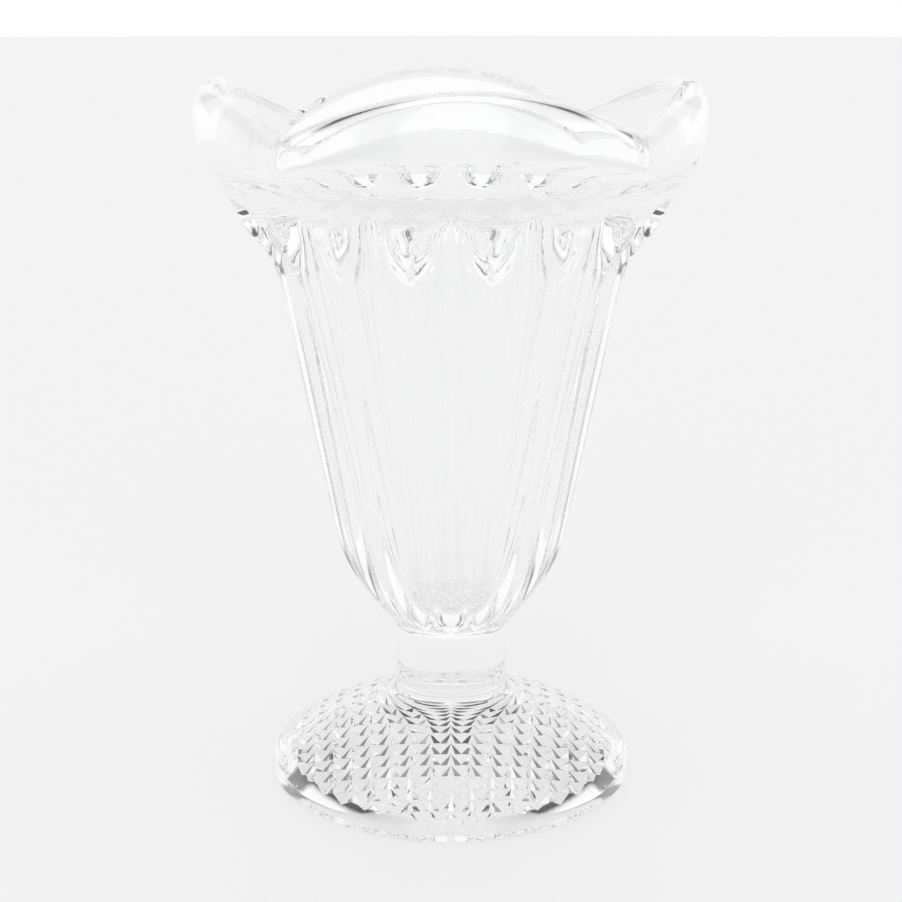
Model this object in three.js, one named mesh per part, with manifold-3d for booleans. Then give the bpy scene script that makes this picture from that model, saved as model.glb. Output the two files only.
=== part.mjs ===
// Pressed clear-glass sundae glass: a fluted tulip bowl with a lobed rim, a plain round stem and
// a domed round foot with a field of small pyramids pressed into its underside.
// Millimetres, +Z up, origin at the centre of the base, front of the glass towards -Y.
// The three parts meet face to face on two flat weld planes.

import * as THREE from 'three';
import { mergeVertices } from 'three/addons/utils/BufferGeometryUtils.js';
import Module from 'manifold-3d';

// Overall
const HEIGHT = 150; // base to the tops of the rim lobes

// Foot
const FOOT_RADIUS = 39.6;
const FOOT_HEIGHT = 20.5; // base to the lower weld plane
const FOOT_EDGE_HEIGHT = 3; // base to the widest line of the edge
const FOOT_EDGE_ROUND = 1.1; // width of the rounding under the edge
const DOME_RADIUS = 18; // where the dome turns up into the neck
const DOME_HEIGHT = 14.5;
const NECK_SWEEP = 3.8; // length of the hollow turn between dome and stem

// Pyramids under the foot
const FIELD_RADIUS = 34;
const FIELD_CEILING = 2.2; // base to the grooves between the pyramids
const PYRAMID_PITCH = 4;
const PYRAMID_HEIGHT = 1.6;

// Stem
const STEM_RADIUS = 12.1;
const STEM_LENGTH = 12;

// Bowl, outside, from the stem to the lip
const CUP_RADIUS = 25.6; // where the rounded cup becomes a straight cone
const CUP_RISE = 25.5; // upper weld plane to that line
const CONE_RADIUS = 36; // upper end of the straight cone
const CONE_DROP = 39.3; // that line below the lobe tops
const BEND_RADIUS = 42.2; // middle of the shoulder
const BEND_DROP = 29.5;
const BEND_LEAN = 0.57; // outward run for each unit of rise there
const FLARE_RADIUS = 48.5; // upper end of the shoulder
const FLARE_DROP = 18.5;
const FLARE_LEAN = 0.68;

// Rim
const LOBES = 4;
const LOBE_TURN = 3.9; // degrees from the front to the middle of a lobe
const LOBE_RISE = 9; // lobe tops over the dips
const LOBE_RADIUS = 46.8; // top line of the rim in the middle of a lobe
const LOBE_SWELL = 6.5; // how far the lip bellies out below that line
const DIP_RADIUS = 45.6; // the same two sizes at a dip
const DIP_SWELL = 4;
const RIM_EDGE = 1.7; // top line to the inner face of the lip
const RIM_ROUND = 2.2; // height of the rounding between them
const LIP_THICKNESS = 4; // the lip's wall, which follows its belly

// Inside of the bowl below the lip: a ledge round the shoulder, a narrow cone and a round bottom
const FOLD_RADIUS = 43.6; // foot of the lip wall
const FOLD_DROP = 19;
const THROAT_RADIUS = 30; // inner edge of the ledge
const THROAT_DROP = 22.2;
const LEDGE_ROUND = 2.4; // length of the roundings at both edges of the ledge
const WELL_RADIUS = 13.6; // lower end of the inner cone, level with the top of the cup
const FLOOR_THICKNESS = 9; // glass under the cavity, above the upper weld plane

// Flutes
const FLUTES = 16;
const FLUTE_DEPTH = 1.5; // at the upper end of the cone
const FLUTE_STRAIGHTNESS = 0.8; // 1 keeps its floor on the cone's line while the shoulder flares
const FLUTE_HOOD_RUN = 5; // height in which the flute narrows, up to the springing of the arch
const FLUTE_HOOD_WIDTH = 0.8; // share of the pitch left to the flute there, the rest is the fin
const FLUTE_CROWN_DROP = 22.6; // arch crown below the lobe tops
const FLUTE_ARCH = 5.5; // height of the arch over its springing
const FLUTE_FOOT_RISE = 3.7; // lower tip above the upper weld plane
const FLUTE_FOOT_ARCH = 4;

// Facets
const FLUTE_STEPS = [-1, -0.78, -0.3, 0.3, 0.78]; // across one flute, -1 and 1 being the ridges
const ROUND_SEGMENTS = 64;

const bowlBase = FOOT_HEIGHT + STEM_LENGTH;
const clearGlass = { color: 0xf4f7f6, roughness: 0.03, metalness: 0 };

function glassMesh(name, geometry) {
  const mesh = new THREE.Mesh(geometry, new THREE.MeshStandardMaterial(clearGlass));
  mesh.name = name;
  return mesh;
}

function point(radius, height) {
  return new THREE.Vector2(radius, height);
}

// Points along a curve with two handles, without its first end
function bend(start, startHandle, endHandle, end, steps) {
  return new THREE.CubicBezierCurve(start, startHandle, endHandle, end).getPoints(steps).slice(1);
}

// Turned solid standing on +Z, made of shared vertices
function turned(profile, segments) {
  const geometry = new THREE.LatheGeometry(profile, segments);
  geometry.rotateX(Math.PI / 2);
  return geometry;
}

function sharedVertices(geometry) {
  geometry.deleteAttribute('normal');
  geometry.deleteAttribute('uv');
  const merged = mergeVertices(geometry, 1e-4);
  const corners = Array.from(merged.index.array);
  const kept = [];
  for (let i = 0; i < corners.length; i += 3) {
    const [a, b, c] = corners.slice(i, i + 3);
    if (a !== b && b !== c && c !== a) kept.push(a, b, c);
  }
  merged.setIndex(kept);
  merged.computeVertexNormals();
  return merged;
}

// Bowl

const coneStart = point(CUP_RADIUS, bowlBase + CUP_RISE);
const coneEnd = point(CONE_RADIUS, HEIGHT - CONE_DROP);
const bendMiddle = point(BEND_RADIUS, HEIGHT - BEND_DROP);
const flareEnd = point(FLARE_RADIUS, HEIGHT - FLARE_DROP);
const fold = point(FOLD_RADIUS, HEIGHT - FOLD_DROP);
const throat = point(THROAT_RADIUS, HEIGHT - THROAT_DROP);
const well = point(WELL_RADIUS, coneStart.y);

// Outward run for each unit of rise on the straight line through two points
function leanOf(lower, upper) {
  return (upper.x - lower.x) / (upper.y - lower.y);
}

function along(from, lean, rise) {
  return point(from.x + lean * rise, from.y + rise);
}

function towards(from, to, length) {
  return from.clone().lerp(to, length / from.distanceTo(to));
}

// Flared shoulder above the straight cone
function shoulder() {
  const coneLean = leanOf(coneStart, coneEnd);
  const lowerRise = bendMiddle.y - coneEnd.y;
  const upperRise = flareEnd.y - bendMiddle.y;
  const leave = along(coneEnd, coneLean, 0.48 * lowerRise);
  const lower = bend(coneEnd, leave, along(bendMiddle, BEND_LEAN, -0.26 * lowerRise), bendMiddle, 6);
  const onward = along(bendMiddle, BEND_LEAN, upperRise / 3);
  const upper = bend(bendMiddle, onward, along(flareEnd, FLARE_LEAN, -upperRise / 3), flareEnd, 8);
  return [...lower, ...upper];
}

// Outside of the cup, cone and shoulder, from the weld plane up
function bodyOutside() {
  const neck = point(STEM_RADIUS, bowlBase);
  const neckHandle = along(neck, 0, 0.14 * CUP_RISE);
  const cupHandle = along(coneStart, leanOf(coneStart, coneEnd), -0.69 * CUP_RISE);
  const cup = bend(neck, neckHandle, cupHandle, coneStart, 9);
  return [neck, ...cup, coneEnd, ...shoulder()];
}

// Lip from the shoulder over the rim's rounded top and down its inner face to the ledge, for one
// place round the rim: fullness 1 is the middle of a lobe and 0 is a dip
function lip(fullness) {
  const swell = THREE.MathUtils.lerp(DIP_SWELL, LOBE_SWELL, fullness);
  const radius = THREE.MathUtils.lerp(DIP_RADIUS, LOBE_RADIUS, fullness);
  const rim = point(radius, HEIGHT - LOBE_RISE * (1 - fullness));
  const flareHandle = along(flareEnd, FLARE_LEAN, 0.45 * (rim.y - flareEnd.y));
  const outside = bend(flareEnd, flareHandle, point(rim.x + swell, rim.y), rim, 8);
  const edge = point(rim.x - RIM_EDGE, rim.y - RIM_ROUND);
  const cornerHandle = point(edge.x, edge.y + 0.55 * RIM_ROUND);
  const inside = bend(rim, point(rim.x - 0.55 * RIM_EDGE, rim.y), cornerHandle, edge, 3);
  const hollowHandle = point(flareHandle.x - LIP_THICKNESS, flareHandle.y - 0.3 * LIP_THICKNESS);
  const wallEnd = towards(fold, hollowHandle, LEDGE_ROUND);
  const wall = bend(edge, point(edge.x + 0.55 * swell, edge.y), hollowHandle, wallEnd, 6);
  return [...outside, ...inside, ...wall];
}

// Inside of the bowl from the end of the lip's wall down to the middle of the cavity's floor
function cavity(wallEnd) {
  const ledgeStart = towards(fold, throat, LEDGE_ROUND);
  const ledgeEnd = towards(throat, fold, LEDGE_ROUND);
  const coneTop = towards(throat, well, LEDGE_ROUND);
  const foldTurn = bend(wallEnd, fold, fold, ledgeStart, 3);
  const edgeTurn = bend(ledgeEnd, throat, throat, coneTop, 3);
  const floor = point(0, bowlBase + FLOOR_THICKNESS);
  const depth = well.y - floor.y;
  const side = along(well, leanOf(well, throat), -0.6 * depth);
  const bottom = bend(well, side, point(0.5 * WELL_RADIUS, floor.y), floor, 6);
  return [...foldTurn, ledgeEnd, ...edgeTurn, well, ...bottom];
}

function bowlProfile(fullness) {
  const brim = lip(fullness);
  return [point(0, bowlBase), ...bodyOutside(), ...brim, ...cavity(brim[brim.length - 1])];
}

// 1 in the middle of each lobe, 0 in the dips
function lobeFullness(angle) {
  const turn = THREE.MathUtils.degToRad(LOBE_TURN);
  return Math.abs(Math.cos(((angle - turn) * LOBES) / 2));
}

// How far a flute is pressed in below the ridges. Its floor runs on up into the flaring shoulder,
// where it narrows and ends under an arch
function fluteHollow(radius, height, across) {
  const crown = HEIGHT - FLUTE_CROWN_DROP;
  const springing = crown - FLUTE_ARCH;
  const foot = bowlBase + FLUTE_FOOT_RISE;
  const above = (height - springing) / FLUTE_ARCH;
  const below = (foot + FLUTE_FOOT_ARCH - height) / FLUTE_FOOT_ARCH;
  const arch = Math.max(above, below, 0);
  if (arch >= 1) return 0;
  const entry = THREE.MathUtils.smoothstep(height, springing - FLUTE_HOOD_RUN, springing);
  const bodyDepth = FLUTE_DEPTH * Math.min(1, radius / CONE_RADIUS);
  const coneLine = along(coneEnd, leanOf(coneStart, coneEnd), Math.max(0, height - coneEnd.y));
  const flare = Math.max(0, radius - coneLine.x);
  const depth = bodyDepth + FLUTE_STRAIGHTNESS * flare;
  const width = THREE.MathUtils.lerp(1, FLUTE_HOOD_WIDTH, entry) * Math.sqrt(1 - arch * arch);
  return depth * Math.max(0, 1 - (Math.abs(across) / width) ** (2 + entry));
}

function bowlGeometry() {
  const steps = FLUTE_STEPS.length;
  const segments = FLUTES * steps;
  const lobeProfile = bowlProfile(1);
  const dipProfile = bowlProfile(0);
  const outsideRows = 1 + bodyOutside().length;
  const geometry = turned(lobeProfile, segments);
  const position = geometry.attributes.position;
  for (let i = 0; i < position.count; i += 1) {
    const row = i % lobeProfile.length;
    const column = Math.floor(i / lobeProfile.length) % segments;
    const across = FLUTE_STEPS[column % steps];
    const angle = ((Math.floor(column / steps) + across / 2) / FLUTES) * 2 * Math.PI;
    const p = dipProfile[row].clone().lerp(lobeProfile[row], lobeFullness(angle));
    const hollow = row < outsideRows ? fluteHollow(p.x, p.y, across) : 0;
    const radius = p.x - hollow;
    position.setXYZ(i, radius * Math.sin(angle), -radius * Math.cos(angle), p.y);
  }
  return sharedVertices(geometry);
}

// Stem

function stemGeometry() {
  const lower = FOOT_HEIGHT;
  const upper = bowlBase;
  const profile = [point(0, lower), point(STEM_RADIUS, lower), point(STEM_RADIUS, upper), point(0, upper)];
  return sharedVertices(turned(profile, ROUND_SEGMENTS));
}

// Foot

function footProfile() {
  const ring = point(FOOT_RADIUS - FOOT_EDGE_ROUND, 0);
  const widest = point(FOOT_RADIUS, FOOT_EDGE_HEIGHT);
  const dome = point(DOME_RADIUS, DOME_HEIGHT);
  const neck = point(STEM_RADIUS, FOOT_HEIGHT);
  const domeRun = FOOT_RADIUS - DOME_RADIUS;
  const domeRise = DOME_HEIGHT - FOOT_EDGE_HEIGHT;
  const domeSlope = 0.37;
  const edge = bend(ring, point(FOOT_RADIUS, 0), point(FOOT_RADIUS, 0.3), widest, 3);
  const edgeHandle = point(FOOT_RADIUS, FOOT_EDGE_HEIGHT + 0.18 * domeRise);
  const domeHandle = point(DOME_RADIUS + 0.52 * domeRun, DOME_HEIGHT - 0.52 * domeRun * domeSlope);
  const top = bend(widest, edgeHandle, domeHandle, dome, 8);
  const turnHandle = point(DOME_RADIUS - NECK_SWEEP, DOME_HEIGHT + NECK_SWEEP * domeSlope);
  const neckHandle = point(STEM_RADIUS, FOOT_HEIGHT - 0.5 * (FOOT_HEIGHT - DOME_HEIGHT));
  const turn = bend(dome, turnHandle, neckHandle, neck, 5);
  return [point(0, 0), ring, ...edge, ...top, ...turn, point(0, FOOT_HEIGHT)];
}

// Plate whose top is pitted with the moulds of the pyramids
function pyramidMould(below) {
  const cells = Math.ceil(FIELD_RADIUS / PYRAMID_PITCH) + 1;
  const corners = [];
  const triangle = (...points) => corners.push(...points.flat());
  for (let column = -cells; column < cells; column += 1) {
    for (let row = -cells; row < cells; row += 1) {
      const [x0, x1] = [column * PYRAMID_PITCH, (column + 1) * PYRAMID_PITCH];
      const [y0, y1] = [row * PYRAMID_PITCH, (row + 1) * PYRAMID_PITCH];
      const outline = [[x0, y0], [x1, y0], [x1, y1], [x0, y1]];
      const apex = [(x0 + x1) / 2, (y0 + y1) / 2, FIELD_CEILING - PYRAMID_HEIGHT];
      const onEdge = [row === -cells, column === cells - 1, row === cells - 1, column === -cells];
      outline.forEach((start, side) => {
        const end = outline[(side + 1) % 4];
        triangle([...start, FIELD_CEILING], [...end, FIELD_CEILING], apex);
        if (onEdge[side]) {
          triangle([...start, below], [...end, below], [...end, FIELD_CEILING]);
          triangle([...start, below], [...end, FIELD_CEILING], [...start, FIELD_CEILING]);
        }
      });
      const [a, b, c, d] = outline.map((corner) => [...corner, below]);
      triangle(a, c, b);
      triangle(a, d, c);
    }
  }
  const geometry = new THREE.BufferGeometry();
  geometry.setAttribute('position', new THREE.Float32BufferAttribute(corners, 3));
  return mergeVertices(geometry, 1e-4);
}

function solidOf(wasm, geometry) {
  const vertProperties = new Float32Array(geometry.attributes.position.array);
  const triVerts = new Uint32Array(geometry.index.array);
  return new wasm.Manifold(new wasm.Mesh({ numProp: 3, vertProperties, triVerts }));
}

function geometryOf(solid) {
  const mesh = solid.getMesh();
  const geometry = new THREE.BufferGeometry();
  geometry.setAttribute('position', new THREE.BufferAttribute(mesh.vertProperties, 3));
  geometry.setIndex(new THREE.BufferAttribute(mesh.triVerts, 1));
  geometry.computeVertexNormals();
  return geometry;
}

function footGeometry(wasm) {
  const below = -FIELD_CEILING;
  const dome = solidOf(wasm, sharedVertices(turned(footProfile(), ROUND_SEGMENTS)));
  const fieldProfile = [
    point(0, 2 * below),
    point(FIELD_RADIUS, 2 * below),
    point(FIELD_RADIUS, 2 * FIELD_CEILING),
    point(0, 2 * FIELD_CEILING),
  ];
  const field = solidOf(wasm, sharedVertices(turned(fieldProfile, ROUND_SEGMENTS)));
  const mould = solidOf(wasm, pyramidMould(below)).intersect(field);
  return geometryOf(dome.subtract(mould));
}

const wasm = await Module();
wasm.setup();

const sundaeGlass = new THREE.Group();
sundaeGlass.add(glassMesh('bowl', bowlGeometry()));
sundaeGlass.add(glassMesh('stem', stemGeometry()));
sundaeGlass.add(glassMesh('foot', footGeometry(wasm)));

export default sundaeGlass;
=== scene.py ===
"""Pressed clear-glass sundae glass on a white table, modelled over its CAD frame.

Lengths are metres, +Z is up, the origin is the centre of the base and the front is -Y.
"""

import math
from collections import namedtuple

import bpy
import numpy as np
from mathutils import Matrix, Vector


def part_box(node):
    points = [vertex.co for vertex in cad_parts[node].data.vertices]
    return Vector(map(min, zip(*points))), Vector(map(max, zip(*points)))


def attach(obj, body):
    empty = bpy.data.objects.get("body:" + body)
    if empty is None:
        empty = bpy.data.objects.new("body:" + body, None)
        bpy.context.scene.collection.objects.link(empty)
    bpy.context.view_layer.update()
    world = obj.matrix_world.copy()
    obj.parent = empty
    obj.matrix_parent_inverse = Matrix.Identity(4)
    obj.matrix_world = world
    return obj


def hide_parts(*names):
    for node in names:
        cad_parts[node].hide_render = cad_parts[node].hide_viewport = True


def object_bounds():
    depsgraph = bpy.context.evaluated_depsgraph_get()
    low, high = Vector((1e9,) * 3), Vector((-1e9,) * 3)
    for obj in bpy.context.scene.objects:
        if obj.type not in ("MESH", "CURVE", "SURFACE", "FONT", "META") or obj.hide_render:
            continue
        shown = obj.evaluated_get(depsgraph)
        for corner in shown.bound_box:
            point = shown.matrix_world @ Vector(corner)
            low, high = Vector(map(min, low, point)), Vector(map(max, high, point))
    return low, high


bl_info = {
    "name": "Sundae glass",
    "version": (1, 0, 0),
    "blender": (4, 5, 0),
    "location": "View3D > Sidebar > Sundae glass",
    "description": "Fluted tulip bowl, stem and patterned foot in pressed clear glass",
    "category": "Object",
}

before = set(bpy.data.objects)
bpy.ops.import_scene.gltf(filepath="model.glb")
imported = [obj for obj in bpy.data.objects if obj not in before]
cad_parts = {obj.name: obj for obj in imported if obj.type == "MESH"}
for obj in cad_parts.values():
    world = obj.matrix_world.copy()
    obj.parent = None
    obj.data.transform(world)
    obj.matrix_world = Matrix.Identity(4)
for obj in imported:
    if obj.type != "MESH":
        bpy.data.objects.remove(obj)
CAD_BOX = [list(map(float, corner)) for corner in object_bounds()]
GLASS_HEIGHT = CAD_BOX[1][2]

# Heights of the two weld planes, from the stem's own solid
STEM_LOW, STEM_HIGH = (float(corner[2]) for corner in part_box("stem"))

COLUMNS_PER_FLUTE = 24
BODY_NAME = "root"

# Edges sharper than these, in degrees, stay sharp
SHARP_TURNED, SHARP_PYRAMID = 60.0, 30.0

# Length of the ripples in each piece's glass, and their share of the ripple height
BOWL_RIPPLE, STEM_RIPPLE, FOOT_RIPPLE = (0.014, 1.0), (0.01, 0.6), (0.012, 0.8)

WELD_REACH = 1e-6
LIGHT_BOUNCES = 40

# Camera: place, degrees below level, and focal length and picture width in pixels
CAMERA_PLACE, CAMERA_TILT = (0.0, -0.352, 0.1674), 15.2
FOCAL_PIXELS, PICTURE_PIXELS = 1705.0, 902.0
SENSOR_WIDTH = 36.0

TABLE_RADIUS, TABLE_GAP = 6.0, 0.00005


class GlassShape(bpy.types.PropertyGroup):
    """Sizes of the glass that a user would change"""

    foot_radius: bpy.props.FloatProperty(
        name="Foot radius", description="Widest line of the foot's edge",
        default=0.0396, min=0.02, unit="LENGTH")
    stem_radius: bpy.props.FloatProperty(
        name="Stem radius", description="Plain round stem, and both weld rings",
        default=0.0121, min=0.005, unit="LENGTH")
    flutes: bpy.props.IntProperty(
        name="Flutes", description="Hollow flutes round the bowl", default=16, min=6, max=32)
    flute_depth: bpy.props.FloatProperty(
        name="Flute depth", description="Depth of a flute at the top of the straight cone",
        default=0.0015, min=0.0, unit="LENGTH")
    flute_straightness: bpy.props.FloatProperty(
        name="Flute straightness",
        description="1 keeps the floor of a flute on the cone's line while the shoulder flares",
        default=0.8, min=0.0, max=1.0, subtype="FACTOR")
    hood_width: bpy.props.FloatProperty(
        name="Hood width", description="Share of the pitch that the flute keeps under its arch",
        default=0.8, min=0.3, max=1.0, subtype="FACTOR")
    lobes: bpy.props.IntProperty(
        name="Lobes", description="Lobes of the rim", default=4, min=2, max=12)
    lobe_turn: bpy.props.FloatProperty(
        name="Lobe turn", description="From the front to the middle of a lobe",
        default=math.radians(3.9), subtype="ANGLE")
    lobe_rise: bpy.props.FloatProperty(
        name="Lobe rise", description="Lobe tops over the dips", default=0.009, unit="LENGTH")
    pyramid_pitch: bpy.props.FloatProperty(
        name="Pyramid pitch", description="Spacing of the pyramids under the foot",
        default=0.004, min=0.001, unit="LENGTH")
    pyramid_height: bpy.props.FloatProperty(
        name="Pyramid height", description="Height of the pyramids under the foot",
        default=0.0016, min=0.0, unit="LENGTH")


class GlassLook(bpy.types.PropertyGroup):
    """Finish of the glass"""

    tint: bpy.props.FloatVectorProperty(
        name="Tint", description="Colour of the clear glass", subtype="COLOR",
        size=3, min=0.0, max=1.0, default=(0.992, 0.996, 0.994))
    density: bpy.props.FloatProperty(
        name="Index", description="Index of refraction", default=1.5, min=1.0, max=2.0)
    ripple: bpy.props.FloatProperty(
        name="Ripple", description="Height of the soft ripples that pressing leaves",
        default=0.00006, min=0.0, unit="LENGTH")


class StageLook(bpy.types.PropertyGroup):
    """Floor and light round the glass"""

    floor_colour: bpy.props.FloatVectorProperty(
        name="Floor colour", description="Pale floor", subtype="COLOR",
        size=3, min=0.0, max=1.0, default=(0.95, 0.95, 0.95))
    card_depth: bpy.props.FloatProperty(
        name="Card depth", description="How much the grey cards show in the glass",
        default=1.0, min=0.0, max=1.0, subtype="FACTOR")


# Share of plain white in the floor where it is looked at, straight or in the glass

FLOOR_WHITE = 0.7

# Rings of soft cards round the glass, in degrees: how many, the place of the first from straight
# behind, half width and softness sideways, lower and upper edge with their softness, and tone

Card = namedtuple("Card", "count middle half_width soft low high edge tone")
CARDS = (
    Card(2, 90.0, 40.0, 20.0, 32.0, 60.0, 5.0, 0.1),
    Card(4, 45.0, 12.0, 8.0, 12.0, 60.0, 4.0, 0.25),
)

# Outline of the bowl, as (radius, height)

CUP_RADIUS, CUP_TOP = 0.0256, 0.058
CONE_RADIUS, CONE_TOP = 0.036, 0.1107
BEND_RADIUS, BEND_HEIGHT, BEND_LEAN = 0.0422, 0.1205, 0.57
FLARE_RADIUS, FLARE_HEIGHT, FLARE_LEAN = 0.0485, 0.1315, 0.68
LOBE_RADIUS, LOBE_SWELL = 0.0467, 0.0062
DIP_RADIUS, DIP_SWELL = 0.0456, 0.004
RIM_EDGE, RIM_ROUND = 0.0017, 0.0022
LIP_THICKNESS = 0.004
FOLD_RADIUS, FOLD_HEIGHT = 0.0436, 0.131
THROAT_RADIUS, THROAT_HEIGHT = 0.0300, 0.1278
LEDGE_ROUND = 0.0024
WELL_RADIUS = 0.0136
CAVITY_FLOOR = 0.0415

FLUTE_CROWN, FLUTE_ARCH = 0.1274, 0.0055
FLUTE_FOOT, FLUTE_FOOT_ARCH = 0.0362, 0.004
FLUTE_HOOD_RUN = 0.005
RIDGE_ROUND = 0.12

FIELD_RADIUS, FIELD_CEILING = 0.034, 0.0022
FOOT_EDGE_HEIGHT, FOOT_EDGE_ROUND = 0.003, 0.0011
DOME_RADIUS, DOME_HEIGHT, DOME_SLOPE = 0.018, 0.0145, 0.37
NECK_SWEEP = 0.0038


def arc(start, start_handle, end_handle, end, steps):
    """Points of a curve with two handles, without its first end."""
    t = np.linspace(0.0, 1.0, steps + 1)[1:, None]
    a, b, c, d = (np.array(p, dtype=float) for p in (start, start_handle, end_handle, end))
    return (1 - t) ** 3 * a + 3 * (1 - t) ** 2 * t * b + 3 * (1 - t) * t * t * c + t ** 3 * d


def run(start, end, steps):
    """Points of a straight line, without its first end."""
    t = np.linspace(0.0, 1.0, steps + 1)[1:, None]
    return np.array(start) + (np.array(end) - np.array(start)) * t


def towards(start, end, length):
    """The point that far along the way from start to end."""
    start, end = np.array(start), np.array(end)
    return start + (end - start) * length / np.linalg.norm(end - start)


def smooth_step(value, low, high):
    """0 below low, 1 above high and an even turn between them."""
    t = np.clip((value - low) / (high - low), 0.0, 1.0)
    return t * t * (3.0 - 2.0 * t)


def bowl_outside(shape):
    """Outline of the bowl from the weld ring to the top of the flared shoulder."""
    neck = np.array((shape.stem_radius, STEM_HIGH))
    cup, cone = np.array((CUP_RADIUS, CUP_TOP)), np.array((CONE_RADIUS, CONE_TOP))
    bend, flare = np.array((BEND_RADIUS, BEND_HEIGHT)), np.array((FLARE_RADIUS, FLARE_HEIGHT))
    rise = CUP_TOP - STEM_HIGH
    lean = (cone[0] - cup[0]) / (cone[1] - cup[1])
    low, high = bend[1] - cone[1], flare[1] - bend[1]
    up_cone = np.array((lean, 1.0))
    up_bend = np.array((BEND_LEAN, 1.0))
    up_flare = np.array((FLARE_LEAN, 1.0))
    return np.vstack([
        [neck],
        arc(neck, neck + (0, 0.14 * rise), cup - up_cone * 0.69 * rise, cup, 30),
        run(cup, cone, 14),
        arc(cone, cone + up_cone * 0.48 * low, bend - up_bend * 0.26 * low, bend, 30),
        arc(bend, bend + up_bend * high / 3, flare - up_flare * high / 3, flare, 34),
    ])


def bowl_rows(shape, fullness):
    """Outline of the bowl from the middle of its base to the middle of the cavity's floor.

    fullness is 1 in the middle of a lobe of the rim and 0 in a dip.
    """
    outside = bowl_outside(shape)
    flare = outside[-1]
    top = GLASS_HEIGHT - shape.lobe_rise * (1 - fullness)
    radius = DIP_RADIUS + (LOBE_RADIUS - DIP_RADIUS) * fullness
    swell = DIP_SWELL + (LOBE_SWELL - DIP_SWELL) * fullness
    rise = top - flare[1]
    belly = flare + np.array((FLARE_LEAN, 1.0)) * 0.45 * rise
    edge = np.array((radius - RIM_EDGE, top - RIM_ROUND))
    fold, throat = np.array((FOLD_RADIUS, FOLD_HEIGHT)), np.array((THROAT_RADIUS, THROAT_HEIGHT))
    well, floor = np.array((WELL_RADIUS, CUP_TOP)), np.array((0.0, CAVITY_FLOOR))
    hollow = belly - np.array((1.0, 0.3)) * LIP_THICKNESS
    wall_end, ledge_start = towards(fold, hollow, LEDGE_ROUND), towards(fold, throat, LEDGE_ROUND)
    ledge_end, cone_top = towards(throat, fold, LEDGE_ROUND), towards(throat, well, LEDGE_ROUND)
    depth = well[1] - floor[1]
    side = well - (throat - well) / (throat[1] - well[1]) * 0.6 * depth
    return np.vstack([
        [(0.0, STEM_HIGH)],
        outside,
        arc(flare, belly, (radius + swell, top), (radius, top), 30),
        arc((radius, top), (radius - 0.55 * RIM_EDGE, top), edge + (0, 0.55 * RIM_ROUND), edge, 10),
        arc(edge, edge + (0.55 * swell, 0.0), hollow, wall_end, 26),
        arc(wall_end, fold, fold, ledge_start, 10),
        run(ledge_start, ledge_end, 6),
        arc(ledge_end, throat, throat, cone_top, 10),
        run(cone_top, well, 12),
        arc(well, side, (0.5 * WELL_RADIUS, floor[1]), floor, 22),
    ])


def stem_rows(shape):
    """Outline of the stem, a plain drum with a very slight waist."""
    heights = np.linspace(STEM_LOW, STEM_HIGH, 13)
    waist = 0.00006 * np.sin(np.pi * (heights - STEM_LOW) / (STEM_HIGH - STEM_LOW)) ** 2
    return np.vstack([
        [(0.0, STEM_LOW)],
        np.column_stack([shape.stem_radius - waist, heights]),
        [(0.0, STEM_HIGH)],
    ])


def foot_rows(shape):
    """Outline of the foot from the middle of its underside to the middle of the weld plane."""
    wide = shape.foot_radius
    ring = (wide - FOOT_EDGE_ROUND, 0.0)
    widest = (wide, FOOT_EDGE_HEIGHT)
    dome = (DOME_RADIUS, DOME_HEIGHT)
    neck = (shape.stem_radius, STEM_LOW)
    reach, rise = wide - DOME_RADIUS, DOME_HEIGHT - FOOT_EDGE_HEIGHT
    over = (DOME_RADIUS + 0.52 * reach, DOME_HEIGHT - 0.52 * reach * DOME_SLOPE)
    into_neck = (DOME_RADIUS - NECK_SWEEP, DOME_HEIGHT + NECK_SWEEP * DOME_SLOPE)
    return np.vstack([
        [(0.0, 0.0)],
        [ring],
        arc(ring, (wide, 0.0), (wide, 0.0003), widest, 8),
        arc(widest, (wide, FOOT_EDGE_HEIGHT + 0.18 * rise), over, dome, 26),
        arc(dome, into_neck, (neck[0], neck[1] - 0.5 * (neck[1] - DOME_HEIGHT)), neck, 18),
        [(0.0, STEM_LOW)],
    ])


def flute_hollow(shape, radius, height, across):
    """How far a flute lies below the ridges, across being 0 in its middle and 1 at a ridge."""
    springing = FLUTE_CROWN - FLUTE_ARCH
    above = (height - springing) / FLUTE_ARCH
    below = (FLUTE_FOOT + FLUTE_FOOT_ARCH - height) / FLUTE_FOOT_ARCH
    arch = np.clip(np.maximum(above, below), 0.0, 1.0)
    entry = smooth_step(height, springing - FLUTE_HOOD_RUN, springing)
    lean = (CONE_RADIUS - CUP_RADIUS) / (CONE_TOP - CUP_TOP)
    cone_line = CONE_RADIUS + lean * np.maximum(height - CONE_TOP, 0.0)
    depth = shape.flute_depth * np.minimum(radius / CONE_RADIUS, 1.0)
    depth = depth + shape.flute_straightness * np.maximum(radius - cone_line, 0.0)
    width = (1.0 + (shape.hood_width - 1.0) * entry) * np.sqrt(1.0 - arch ** 2)
    place = np.minimum(np.abs(across) * 1.05 / np.maximum(width, 1e-3), 3.0)
    hollow = np.maximum(1.0 - place ** (2.0 + entry), -1.0)
    round_off = np.maximum(RIDGE_ROUND - np.abs(hollow), 0.0) ** 2 / (4.0 * RIDGE_ROUND)
    return np.where(arch < 1.0, depth * (np.maximum(hollow, 0.0) + round_off), 0.0)


def lobe_fullness(shape, angle):
    """1 in the middle of each lobe of the rim, 0 in the dips."""
    return np.abs(np.cos((angle - shape.lobe_turn) * shape.lobes / 2.0))


def deselect_all():
    """Leaves object mode with nothing selected."""
    if bpy.context.object is not None and bpy.context.object.mode != "OBJECT":
        bpy.ops.object.mode_set(mode="OBJECT")
    bpy.ops.object.select_all(action="DESELECT")


def make_active(piece):
    """Selects that piece alone."""
    deselect_all()
    piece.select_set(True)
    bpy.context.view_layer.objects.active = piece


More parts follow.
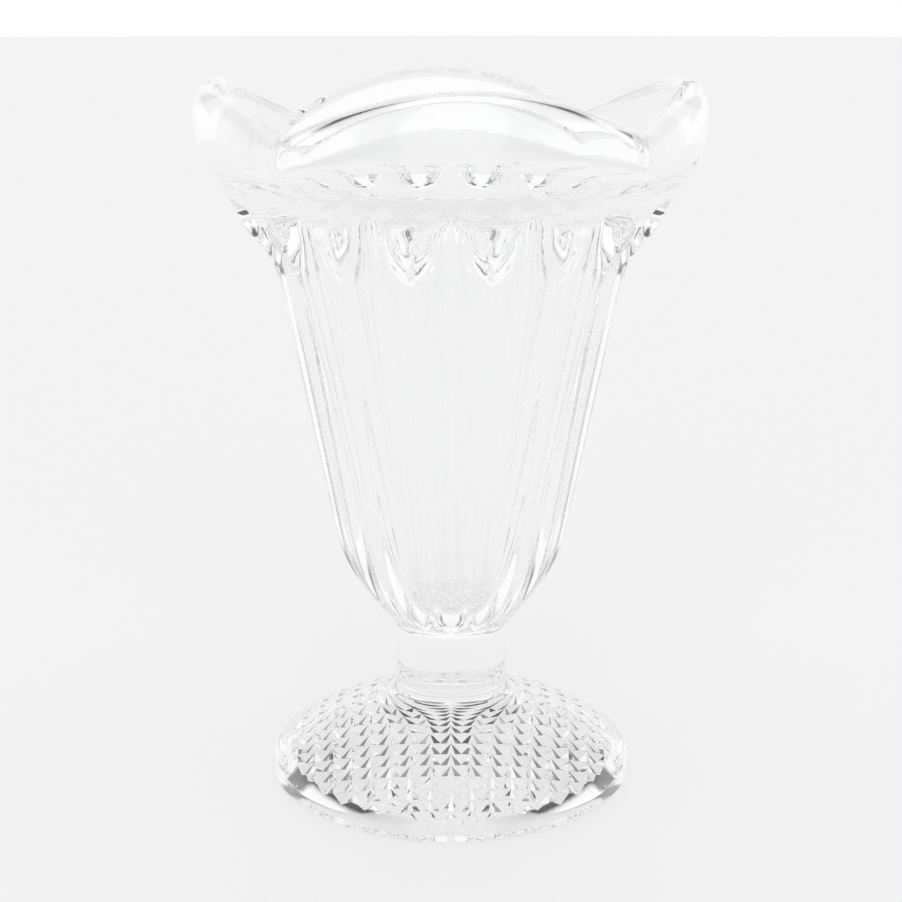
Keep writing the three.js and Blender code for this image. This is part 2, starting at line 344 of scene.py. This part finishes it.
def spin_outline(name, rows, columns):
    """Draws the outline as a chain of edges in front of the axis and spins it into a closed piece."""
    deselect_all()
    bpy.ops.mesh.primitive_plane_add(size=0.001, location=(0.0, 0.0, 0.0))
    piece = bpy.context.object
    piece.name = name
    bpy.ops.object.mode_set(mode="EDIT")
    bpy.ops.mesh.select_all(action="SELECT")
    bpy.ops.mesh.merge(type="CENTER")
    first = np.array((0.0, -rows[0][0], rows[0][1]))
    bpy.ops.transform.translate(value=tuple(first))
    place = first
    for radius, height in rows[1:]:
        step = np.array((0.0, -radius, height)) - place
        bpy.ops.mesh.extrude_vertices_move(TRANSFORM_OT_translate={"value": tuple(step)})
        place = place + step
    bpy.ops.mesh.select_all(action="SELECT")
    bpy.ops.mesh.spin(
        steps=columns, angle=2.0 * math.pi, center=(0.0, 0.0, 0.0), axis=(0.0, 0.0, 1.0))
    bpy.ops.mesh.select_all(action="SELECT")
    bpy.ops.mesh.remove_doubles(threshold=2e-7)
    bpy.ops.mesh.select_all(action="SELECT")
    bpy.ops.mesh.normals_make_consistent(inside=False)
    bpy.ops.object.mode_set(mode="OBJECT")
    return piece


def vertex_places(piece):
    """All vertices of a piece as an array."""
    places = np.empty(len(piece.data.vertices) * 3)
    piece.data.vertices.foreach_get("co", places)
    return places.reshape(-1, 3)


def set_vertex_places(piece, places):
    """Moves all vertices of a piece."""
    piece.data.vertices.foreach_set("co", places.astype(np.float32).ravel())
    piece.data.update()


def ridge_columns(shape, angle):
    """Moves evenly spun columns towards the ridges, and says where each lies across its flute."""
    turn = angle * shape.flutes / (2.0 * math.pi)
    flute = np.round(turn)
    even = 2.0 * (turn - flute)
    across = 0.45 * np.sin(0.5 * math.pi * even) + 0.55 * even
    return (flute + across / 2.0) * 2.0 * math.pi / shape.flutes, across


def column_angle(places):
    """Angle of each vertex round the axis, from the front towards +X."""
    return np.arctan2(places[:, 0], -places[:, 1])


def nearest_row(places, rows):
    """Index of the outline point that each spun vertex came from."""
    outline = np.column_stack([np.hypot(places[:, 0], places[:, 1]), places[:, 2]])
    found = np.empty(len(places), dtype=int)
    for start in range(0, len(places), 8192):
        part = outline[start:start + 8192]
        gap = ((part[:, None, :] - rows[None, :, :]) ** 2).sum(axis=2)
        found[start:start + 8192] = gap.argmin(axis=1)
    return found


def press_bowl(piece, shape):
    """Presses the lobes of the rim and the flutes into the spun bowl."""
    lobe_rows, dip_rows = bowl_rows(shape, 1.0), bowl_rows(shape, 0.0)
    places = vertex_places(piece)
    row = nearest_row(places, lobe_rows)
    angle, across = ridge_columns(shape, column_angle(places))
    full = lobe_fullness(shape, angle)[:, None]
    profile = dip_rows[row] * (1.0 - full) + lobe_rows[row] * full
    fluted = (row > 1) & (row < 1 + len(bowl_outside(shape)))
    hollow = flute_hollow(shape, profile[:, 0], profile[:, 1], across)
    radius = profile[:, 0] - np.where(fluted, hollow, 0.0)
    pressed = np.column_stack([radius * np.sin(angle), -radius * np.cos(angle), profile[:, 1]])
    set_vertex_places(piece, pressed)


def match_columns(piece, shape):
    """Gives a round piece the bowl's columns, so that the weld rings meet point to point."""
    places = vertex_places(piece)
    angle, _ = ridge_columns(shape, column_angle(places))
    radius = np.hypot(places[:, 0], places[:, 1])
    places[:, 0], places[:, 1] = radius * np.sin(angle), -radius * np.cos(angle)
    set_vertex_places(piece, places)


def pyramid_mould(shape):
    """Plate whose top is pitted with the moulds of the pyramids, cut to the round field."""
    cells = 2 * (math.ceil(FIELD_RADIUS / shape.pyramid_pitch) + 1)
    deselect_all()
    bpy.ops.mesh.primitive_grid_add(
        x_subdivisions=cells, y_subdivisions=cells, size=cells * shape.pyramid_pitch,
        location=(0.0, 0.0, FIELD_CEILING))
    mould = bpy.context.object
    bpy.ops.object.transform_apply(location=True, rotation=True, scale=True)
    bpy.ops.object.mode_set(mode="EDIT")
    bpy.ops.mesh.select_mode(type="FACE")
    bpy.ops.mesh.select_all(action="SELECT")
    bpy.ops.mesh.poke(offset=-shape.pyramid_height)
    bpy.ops.mesh.select_mode(type="EDGE")
    bpy.ops.mesh.select_all(action="DESELECT")
    bpy.ops.mesh.select_non_manifold(
        extend=False, use_wire=False, use_boundary=True, use_multi_face=False,
        use_non_contiguous=False, use_verts=False)
    bpy.ops.mesh.extrude_edges_move(
        TRANSFORM_OT_translate={"value": (0.0, 0.0, -3.0 * FIELD_CEILING)})
    bpy.ops.mesh.edge_face_add()
    bpy.ops.mesh.select_all(action="SELECT")
    bpy.ops.mesh.normals_make_consistent(inside=False)
    bpy.ops.object.mode_set(mode="OBJECT")
    deselect_all()
    bpy.ops.mesh.primitive_cylinder_add(
        vertices=256, radius=FIELD_RADIUS, depth=0.03, location=(0.0, 0.0, 0.0))
    field = bpy.context.object
    cut_with(mould, field, "INTERSECT")
    return mould


def cut_with(piece, tool, operation):
    """Joins or cuts a piece with a tool, which is then thrown away."""
    make_active(piece)
    cut = piece.modifiers.new("Cut", "BOOLEAN")
    cut.operation = operation
    cut.solver = "EXACT"
    cut.object = tool
    bpy.ops.object.modifier_apply(modifier=cut.name)
    bpy.data.objects.remove(tool)


def soften(piece, angle):
    """Smooth shading, with the sharp edges kept."""
    make_active(piece)
    bpy.ops.object.shade_smooth_by_angle(angle=math.radians(angle))


def node(tree, kind, **inputs):
    """Adds a shader node and sets or links its inputs."""
    made = tree.nodes.new(kind)
    for key, value in inputs.items():
        by_place = key[0] == "n" and key[1:].isdigit()
        socket = made.inputs[int(key[1:]) if by_place else key]
        if isinstance(value, bpy.types.NodeSocket):
            tree.links.new(value, socket)
        else:
            socket.default_value = value
    return made


def clear_glass(name, look, ripple_size, ripple_share):
    """Clear pressed glass: soft ripples from the mould and faint changes of tint and polish."""
    material = bpy.data.materials.new(name)
    material.use_nodes = True
    tree = material.node_tree
    glass = tree.nodes["Principled BSDF"]
    where = tree.nodes.new("ShaderNodeTexCoord").outputs["Object"]

    slow = node(tree, "ShaderNodeTexNoise", Vector=where, Scale=1.0 / ripple_size, Detail=1.0)
    fine = node(tree, "ShaderNodeTexNoise", Vector=where, Scale=5.0 / ripple_size, Detail=2.0)
    relief = node(tree, "ShaderNodeMath", n0=fine.outputs["Fac"], n1=0.12, n2=slow.outputs["Fac"])
    relief.operation = "MULTIPLY_ADD"
    bump = node(tree, "ShaderNodeBump", Height=relief.outputs[0], Strength=1.0,
                Distance=look.ripple * ripple_share)
    tree.links.new(bump.outputs["Normal"], glass.inputs["Normal"])

    tint = node(tree, "ShaderNodeValToRGB", Fac=slow.outputs["Fac"])
    tint.color_ramp.elements[0].position = 0.3
    tint.color_ramp.elements[1].position = 0.7
    tint.color_ramp.elements[0].color = (*(0.994 * part for part in look.tint), 1.0)
    tint.color_ramp.elements[1].color = (*look.tint, 1.0)
    tree.links.new(tint.outputs["Color"], glass.inputs["Base Color"])

    polish = node(tree, "ShaderNodeMapRange", Value=fine.outputs["Fac"])
    polish.inputs["From Min"].default_value = 0.45
    polish.inputs["From Max"].default_value = 0.75
    polish.inputs["To Min"].default_value = 0.0
    polish.inputs["To Max"].default_value = 0.012
    tree.links.new(polish.outputs["Result"], glass.inputs["Roughness"])

    glass.inputs["Transmission Weight"].default_value = 1.0
    glass.inputs["IOR"].default_value = look.density
    return material


def weld_plane():
    """Glass to glass: light crosses a weld plane as if it were not there."""
    material = bpy.data.materials.get("weld_plane")
    if material is None:
        material = bpy.data.materials.new("weld_plane")
        material.use_nodes = True
        tree = material.node_tree
        clear = tree.nodes.new("ShaderNodeBsdfTransparent")
        tree.links.new(clear.outputs["BSDF"], tree.nodes["Material Output"].inputs["Surface"])
        tree.nodes.remove(tree.nodes["Principled BSDF"])
    return material


def finish_piece(piece, node_name, glass, weld_heights):
    """Paints the piece, marks its weld planes and sets it on the frame."""
    piece.data.materials.clear()
    piece.data.materials.append(glass)
    piece.data.materials.append(weld_plane())
    for face in piece.data.polygons:
        level = [abs(face.center.z - height) < WELD_REACH for height in weld_heights]
        if any(level) and abs(face.normal.z) > 0.99:
            face.material_index = 1
    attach(piece, BODY_NAME)
    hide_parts(node_name)


class SUNDAE_OT_bowl(bpy.types.Operator):
    """Spins the bowl and presses its lobes and flutes"""

    bl_idname = "sundae.bowl"
    bl_label = "Bowl"

    def execute(self, context):
        shape, look = context.scene.sundae_shape, context.scene.sundae_look
        columns = shape.flutes * COLUMNS_PER_FLUTE
        piece = spin_outline("fluted_bowl", bowl_rows(shape, 1.0), columns)
        press_bowl(piece, shape)
        soften(piece, SHARP_TURNED)
        glass = clear_glass("bowl_glass", look, *BOWL_RIPPLE)
        finish_piece(piece, "bowl", glass, [STEM_HIGH])
        return {"FINISHED"}


class SUNDAE_OT_stem(bpy.types.Operator):
    """Spins the plain stem"""

    bl_idname = "sundae.stem"
    bl_label = "Stem"

    def execute(self, context):
        shape, look = context.scene.sundae_shape, context.scene.sundae_look
        piece = spin_outline("round_stem", stem_rows(shape), shape.flutes * COLUMNS_PER_FLUTE)
        match_columns(piece, shape)
        soften(piece, SHARP_TURNED)
        glass = clear_glass("stem_glass", look, *STEM_RIPPLE)
        finish_piece(piece, "stem", glass, [STEM_LOW, STEM_HIGH])
        return {"FINISHED"}


class SUNDAE_OT_foot(bpy.types.Operator):
    """Spins the foot and presses the pyramids into its underside"""

    bl_idname = "sundae.foot"
    bl_label = "Foot"

    def execute(self, context):
        shape, look = context.scene.sundae_shape, context.scene.sundae_look
        piece = spin_outline("domed_foot", foot_rows(shape), shape.flutes * COLUMNS_PER_FLUTE)
        match_columns(piece, shape)
        cut_with(piece, pyramid_mould(shape), "DIFFERENCE")
        soften(piece, SHARP_PYRAMID)
        glass = clear_glass("foot_glass", look, *FOOT_RIPPLE)
        finish_piece(piece, "foot", glass, [STEM_LOW])
        return {"FINISHED"}


def stage_floor(stage):
    """White table top: white where it is looked at, with the shadow of the glass kept."""
    deselect_all()
    bpy.ops.mesh.primitive_circle_add(
        vertices=96, radius=TABLE_RADIUS, fill_type="NGON", location=(0.0, 0.0, -TABLE_GAP))
    floor = bpy.context.object
    floor.name = "table_top"
    material = bpy.data.materials.new("table_white")
    material.use_nodes = True
    tree = material.node_tree
    cloth = tree.nodes["Principled BSDF"]
    cloth.inputs["Base Color"].default_value = (*stage.floor_colour, 1.0)
    cloth.inputs["Roughness"].default_value = 1.0
    cloth.inputs["Specular IOR Level"].default_value = 0.0
    light = tree.nodes.new("ShaderNodeLightPath")
    in_glass = node(tree, "ShaderNodeMath", n0=light.outputs["Is Transmission Ray"],
                    n1=light.outputs["Is Glossy Ray"])
    in_glass.operation = "MAXIMUM"
    seen = node(tree, "ShaderNodeMath", n0=light.outputs["Is Camera Ray"], n1=in_glass.outputs[0])
    seen.operation = "MAXIMUM"
    share = node(tree, "ShaderNodeMath", n0=seen.outputs[0], n1=FLOOR_WHITE)
    share.operation = "MULTIPLY"
    white = node(tree, "ShaderNodeEmission", Color=(1.0, 1.0, 1.0, 1.0), Strength=1.0)
    mixed = node(tree, "ShaderNodeMixShader", n0=share.outputs[0],
                 n1=cloth.outputs["BSDF"], n2=white.outputs["Emission"])
    tree.links.new(mixed.outputs[0], tree.nodes["Material Output"].inputs["Surface"])
    floor.data.materials.append(material)


def soft_window(tree, value, low, high, edge):
    """1 while the value lies between low and high, with soft edges."""
    rise = node(tree, "ShaderNodeMapRange", Value=value)
    fall = node(tree, "ShaderNodeMapRange", Value=value)
    for ramp, middle, ends in ((rise, low, (0.0, 1.0)), (fall, high, (1.0, 0.0))):
        ramp.interpolation_type = "SMOOTHSTEP"
        ramp.inputs["From Min"].default_value = math.sin(math.radians(middle - edge))
        ramp.inputs["From Max"].default_value = math.sin(math.radians(middle + edge))
        ramp.inputs["To Min"].default_value, ramp.inputs["To Max"].default_value = ends
    both = node(tree, "ShaderNodeMath", n0=rise.outputs["Result"], n1=fall.outputs["Result"])
    both.operation = "MULTIPLY"
    return both.outputs[0]


def card_tone(tree, turn, height, card):
    """Tone of one ring of cards: its own tone on the cards and 1 between them."""
    beat = node(tree, "ShaderNodeMath", n0=turn, n1=float(card.count),
                n2=-card.count * math.radians(card.middle))
    beat.operation = "MULTIPLY_ADD"
    wave = node(tree, "ShaderNodeMath", n0=beat.outputs[0])
    wave.operation = "COSINE"
    across = node(tree, "ShaderNodeMapRange", Value=wave.outputs[0])
    across.interpolation_type = "SMOOTHSTEP"
    outer, inner = card.half_width + card.soft / 2.0, card.half_width - card.soft / 2.0
    across.inputs["From Min"].default_value = math.cos(card.count * math.radians(outer))
    across.inputs["From Max"].default_value = math.cos(card.count * math.radians(inner))
    upright = soft_window(tree, height, card.low, card.high, card.edge)
    cover = node(tree, "ShaderNodeMath", n0=across.outputs["Result"], n1=upright)
    cover.operation = "MULTIPLY"
    tone = node(tree, "ShaderNodeMath", n0=cover.outputs[0], n1=card.tone - 1.0, n2=1.0)
    tone.operation = "MULTIPLY_ADD"
    return tone.outputs[0]


def stage_light(stage):
    """Even white light all round, with soft grey cards high up, out of the picture."""
    world = bpy.data.worlds.new("white_room")
    bpy.context.scene.world = world
    world.use_nodes = True
    tree = world.node_tree
    tree.nodes.clear()
    toward = node(tree, "ShaderNodeSeparateXYZ",
                  Vector=tree.nodes.new("ShaderNodeTexCoord").outputs["Generated"])
    turn = node(tree, "ShaderNodeMath", n0=toward.outputs["X"], n1=toward.outputs["Y"])
    turn.operation = "ARCTAN2"
    shown = None
    for card in CARDS:
        tone = card_tone(tree, turn.outputs[0], toward.outputs["Z"], card)
        if shown is not None:
            joined = node(tree, "ShaderNodeMath", n0=shown, n1=tone)
            joined.operation = "MULTIPLY"
            tone = joined.outputs[0]
        shown = tone
    depth = node(tree, "ShaderNodeMath", n0=shown, n1=stage.card_depth, n2=1.0 - stage.card_depth)
    depth.operation = "MULTIPLY_ADD"
    sky = node(tree, "ShaderNodeBackground", Color=depth.outputs[0], Strength=1.0)
    out = tree.nodes.new("ShaderNodeOutputWorld")
    tree.links.new(sky.outputs["Background"], out.inputs["Surface"])


def stage_camera():
    """Camera at the photograph's viewing angle."""
    bpy.ops.object.camera_add(
        location=CAMERA_PLACE, rotation=(math.radians(90.0 - CAMERA_TILT), 0.0, 0.0))
    camera = bpy.context.object
    camera.name = "photo_camera"
    camera.data.sensor_width = SENSOR_WIDTH
    camera.data.lens = SENSOR_WIDTH * FOCAL_PIXELS / PICTURE_PIXELS
    camera.data.clip_start = 0.01
    bpy.context.scene.camera = camera


class SUNDAE_OT_stage(bpy.types.Operator):
    """Sets up the table top, the light and the camera"""

    bl_idname = "sundae.stage"
    bl_label = "Stage"

    def execute(self, context):
        deselect_all()
        stage_floor(context.scene.sundae_stage)
        stage_light(context.scene.sundae_stage)
        stage_camera()
        context.scene.view_settings.view_transform = "Standard"
        cycles = context.scene.cycles
        cycles.max_bounces = cycles.transmission_bounces = cycles.glossy_bounces = LIGHT_BOUNCES
        cycles.transparent_max_bounces = LIGHT_BOUNCES
        return {"FINISHED"}


class SUNDAE_PT_sidebar(bpy.types.Panel):
    """Pieces and sizes of the sundae glass"""

    bl_idname = "SUNDAE_PT_sidebar"
    bl_label = "Sundae glass"
    bl_space_type = "VIEW_3D"
    bl_region_type = "UI"
    bl_category = "Sundae glass"

    def draw(self, context):
        column = self.layout.column()
        for group in ("sundae_shape", "sundae_look", "sundae_stage"):
            settings = getattr(context.scene, group)
            box = column.box()
            for name in settings.__annotations__:
                box.prop(settings, name)
        for piece in ("bowl", "stem", "foot", "stage"):
            column.operator("sundae." + piece)


CLASSES = (
    GlassShape, GlassLook, StageLook,
    SUNDAE_OT_bowl, SUNDAE_OT_stem, SUNDAE_OT_foot, SUNDAE_OT_stage, SUNDAE_PT_sidebar,
)


def register():
    for made in CLASSES:
        bpy.utils.register_class(made)
    bpy.types.Scene.sundae_shape = bpy.props.PointerProperty(type=GlassShape)
    bpy.types.Scene.sundae_look = bpy.props.PointerProperty(type=GlassLook)
    bpy.types.Scene.sundae_stage = bpy.props.PointerProperty(type=StageLook)


def unregister():
    del bpy.types.Scene.sundae_stage
    del bpy.types.Scene.sundae_look
    del bpy.types.Scene.sundae_shape
    for made in reversed(CLASSES):
        bpy.utils.unregister_class(made)


def main():
    register()
    bpy.ops.sundae.bowl()
    bpy.ops.sundae.stem()
    bpy.ops.sundae.foot()
    bpy.ops.sundae.stage()
    bpy.context.view_layer.update()


if __name__ == "__main__":
    main()
